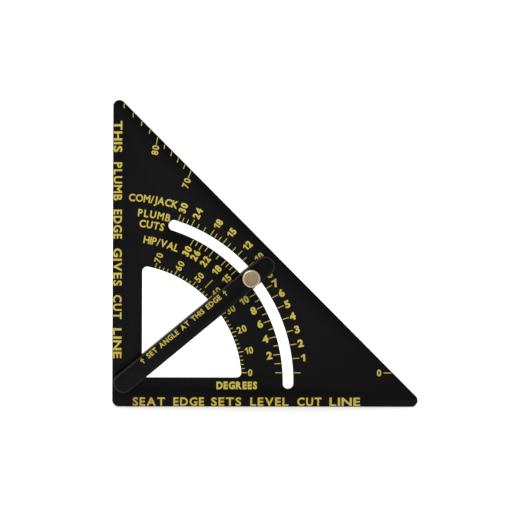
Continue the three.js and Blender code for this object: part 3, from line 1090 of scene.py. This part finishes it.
def scale_names():
    """The scales' names, bent round the pivot beside the plumb edge, and the word under the window."""
    marks = Marks(bench, FACE)
    for word, radius, start, end in (  # start and end in degrees round the pivot
        ("COM/JACK", 122.95, 87.5, 74.1),
        ("PLUMB", 113.25, 84.5, 75.1),
        ("CUTS", 106.3, 83.3, 76.3),
        ("HIP/VAL", 96.0, 80.95, 68.75),
    ):
        marks.bent_text(word, radius, math.radians(start), math.radians(end), **NAME_STYLE)
    marks.text("DEGREES", *WINDOW_WORD, 0, **WINDOW_WORD_STYLE)
    return marks.build("scale_names")


LEGEND_CAP = 5.2
LEGEND_ROW = 0.6 + LEGEND_CAP / 2  # the middle of the letters, from the edge
LEGEND_STYLE = {"cap": LEGEND_CAP, "bold": 0.027, "gap": 0.2}


def seat_edge_legend():
    marks = Marks(bench, FACE)
    for word, start, end in (  # from the plumb edge
        ("SEAT", 13.6, 35.0),
        ("EDGE", 40.6, 61.0),
        ("SETS", 65.7, 85.7),
        ("LEVEL", 91.7, 117.0),
        ("CUT", 123.0, 139.1),
        ("LINE", 144.4, 164.8),
    ):
        marks.text(word, (start + end) / 2, LEGEND_ROW, 0, width=end - start, **LEGEND_STYLE)
    return marks.build("seat_edge_legend")


def plumb_edge_legend():
    marks = Marks(bench, FACE)
    for word, start, end in (  # from the seat edge, read downwards
        ("THIS", 189.5, 168.8),
        ("PLUMB", 162.1, 136.8),
        ("EDGE", 130.8, 111.4),
        ("GIVES", 105.1, 80.1),
        ("CUT", 74.1, 58.1),
        ("LINE", 52.0, 32.0),
    ):
        marks.text(word, LEGEND_ROW, (start + end) / 2, -math.pi / 2, width=start - end, **LEGEND_STYLE)
    return marks.build("plumb_edge_legend")


BAR_LEGEND = (54.8, HALF_BAR - 2.95)  # the middle of the words, along the bar and across it
BAR_LEGEND_STYLE = {"cap": 3.25, "bold": 0.026, "gap": 0.16, "width": 62.6}
ARROWS = (19.25, 89.9)  # along the bar
ARROW_W = 2.7
ARROW_SHAFT_W = 0.55


def bar_legend():
    """A line of words along the setting edge, with an arrow that points to the edge at each end."""
    marks = Marks(bar_place, BAR_OUTER)
    row = BAR_LEGEND[1]
    tip, foot, wing = row + 1.6, row - 2.2, ARROW_W / 2
    marks.text("SET ANGLE AT THIS EDGE", *BAR_LEGEND, 0, **BAR_LEGEND_STYLE)
    for u in ARROWS:
        marks.stroke(u, foot, u, tip - 0.3, ARROW_SHAFT_W)
        head = ((u - wing, tip - 1.7), (u + wing, tip - 1.7), (u, tip + 0.3))
        marks.add([(x, y, z) for z in (0, 1) for x, y in head],
                  [(0, 2, 1), (3, 4, 5), (0, 1, 4, 3), (1, 2, 5, 4), (2, 0, 3, 5)])
    return marks.build("bar_legend")


# ------------------------------------------------------------ assembly

finish_piece(plate(), "square", "black_coat", "square_plate")
finish_piece(front_bar(), "fence", "black_coat", "front_bar")
finish_piece(rear_bar(), "fence", "black_coat", "rear_bar")
finish_piece(thumbscrew(), "thumbscrew", "nickel", "thumbscrew")
finish_piece(thumbscrew_washer(), "captive_washer", "nickel", "thumbscrew_washer")
finish_piece(clamp_nut(), "fence", "zinc_steel", "clamp_nut")
finish_piece(pivot_screw(), "fence", "zinc_steel", "pivot_screw")

for node in ("pivot_bush", "front_pivot_washer", "rear_pivot_washer"):  # shown as they are in CAD
    plastic = frame["nodes"][node].data.materials
    for i in range(len(plastic)):
        plastic[i] = acetal

for printed in (degree_scale, common_scale, hip_scale, long_edge_scale, scale_names, seat_edge_legend,
                plumb_edge_legend):
    finish_piece(printed(), "square", "black_coat")  # print rides on the same body as the coat under it
finish_piece(bar_legend(), "fence", "black_coat")

# ------------------------------------------------------------ floor, light and camera

LENS = 300.0  # the camera's own millimetres, like the sensor's width
SENSOR = 36.0
FIELD = 0.3379  # width of the view at the plate's face, in metres
AIM_X = -0.00738  # the point of the plate's face in the middle of the view, in metres
AIM_Z = 0.10095
LEFT_TURN = math.radians(2.5)  # how far round to the left the camera stands
LIFT = math.radians(4.5)  # and how far up
ROLL = math.radians(0.375)

FLOOR_HALF = 40.0  # metres, so that its rim is out of sight
FLOOR_GAP = 0.0002  # the floor lies this far under the seat edge, in metres
CARD_EDGE = 0.50  # cosines of how far off the camera's side the dark card starts to show
CARD_FULL = 0.80  # and is fully dark


def pale_floor():
    mesh = bpy.data.meshes.new("floor")
    corner_points = [(x * FLOOR_HALF, y * FLOOR_HALF, 0) for x, y in ((-1, -1), (1, -1), (1, 1), (-1, 1))]
    mesh.from_pydata(corner_points, [], [(0, 1, 2, 3)])
    paper = bpy.data.materials.new("pale_floor")
    paper.use_nodes = True
    inputs = paper.node_tree.nodes["Principled BSDF"].inputs
    inputs["Base Color"].default_value = (0.93, 0.93, 0.925, 1)
    inputs["Roughness"].default_value = 0.9
    inputs["Specular IOR Level"].default_value = 0.1
    inputs["Emission Color"].default_value = (1, 1, 1, 1)
    inputs["Emission Strength"].default_value = 0.12
    mesh.materials.append(paper)
    obj = bpy.data.objects.new("floor", mesh)
    obj.location.z = plate_low.z * MM - FLOOR_GAP
    COLLECTION.objects.link(obj)
    return obj


def studio_world():
    """White to the camera, and white all round for light, with a dark card behind the camera."""
    world = bpy.data.worlds.new("studio")
    bpy.context.scene.world = world
    world.use_nodes = True
    tree = world.node_tree
    tree.nodes.clear()
    output = tree.nodes.new("ShaderNodeOutputWorld")
    choose = tree.nodes.new("ShaderNodeMixShader")
    path = tree.nodes.new("ShaderNodeLightPath")
    seen = tree.nodes.new("ShaderNodeBackground")
    seen.inputs["Color"].default_value = (1, 1, 1, 1)
    seen.inputs["Strength"].default_value = 1.0
    lit = tree.nodes.new("ShaderNodeBackground")
    lit.inputs["Strength"].default_value = 0.9
    coords = tree.nodes.new("ShaderNodeTexCoord")
    toward = tree.nodes.new("ShaderNodeVectorMath")
    toward.operation = "DOT_PRODUCT"
    toward.inputs[1].default_value = (0, -1, 0)
    card = tree.nodes.new("ShaderNodeValToRGB")
    white, dark = card.color_ramp.elements
    white.position = CARD_EDGE
    white.color = (1.0, 1.0, 1.0, 1)
    dark.position = CARD_FULL
    dark.color = (0.07, 0.07, 0.07, 1)
    tree.links.new(coords.outputs["Generated"], toward.inputs[0])
    tree.links.new(toward.outputs["Value"], card.inputs["Fac"])
    tree.links.new(card.outputs["Color"], lit.inputs["Color"])
    tree.links.new(path.outputs["Is Camera Ray"], choose.inputs[0])
    tree.links.new(lit.outputs[0], choose.inputs[1])
    tree.links.new(seen.outputs[0], choose.inputs[2])
    tree.links.new(choose.outputs[0], output.inputs[0])


def light(name, kind, place, aim, energy, **values):
    data = bpy.data.lights.new(name, kind)
    data.energy = energy
    for key, value in values.items():
        setattr(data, key, value)
    lamp = bpy.data.objects.new(name, data)
    lamp.location = place
    lamp.rotation_euler = (Vector(aim) - Vector(place)).to_track_quat("-Z", "Y").to_euler()
    COLLECTION.objects.link(lamp)


pale_floor()
studio_world()

MIDDLE = (0.0, 0.0, 0.1)  # of the object, where the lights point
light("key_sun", "SUN", (-1.2, -1.6, 2.4), MIDDLE, 1.3, angle=math.radians(35))
light("left_panel", "AREA", (-1.3, -0.25, 0.7), MIDDLE, 3.0, shape="RECTANGLE", size=0.9, size_y=0.5)
light("rear_panel", "AREA", (0.6, 1.5, 0.9), MIDDLE, 6.0, shape="RECTANGLE", size=1.0, size_y=0.7)

camera_data = bpy.data.cameras.new("camera")
camera_data.lens = LENS
camera_data.sensor_width = SENSOR
camera_data.sensor_fit = "HORIZONTAL"
camera_data.clip_start = 0.01
camera = bpy.data.objects.new("camera", camera_data)
distance = FIELD * LENS / SENSOR
camera.matrix_world = (
    Matrix.Translation((AIM_X, plate_low.y * MM, AIM_Z))
    @ Matrix.Rotation(-LEFT_TURN, 4, "Z")
    @ Matrix.Rotation(math.pi / 2 - LIFT, 4, "X")
    @ Matrix.Rotation(ROLL, 4, "Z")
    @ Matrix.Translation((0, 0, distance))
)
COLLECTION.objects.link(camera)
bpy.context.scene.camera = camera
bpy.context.scene.view_settings.view_transform = "Standard"
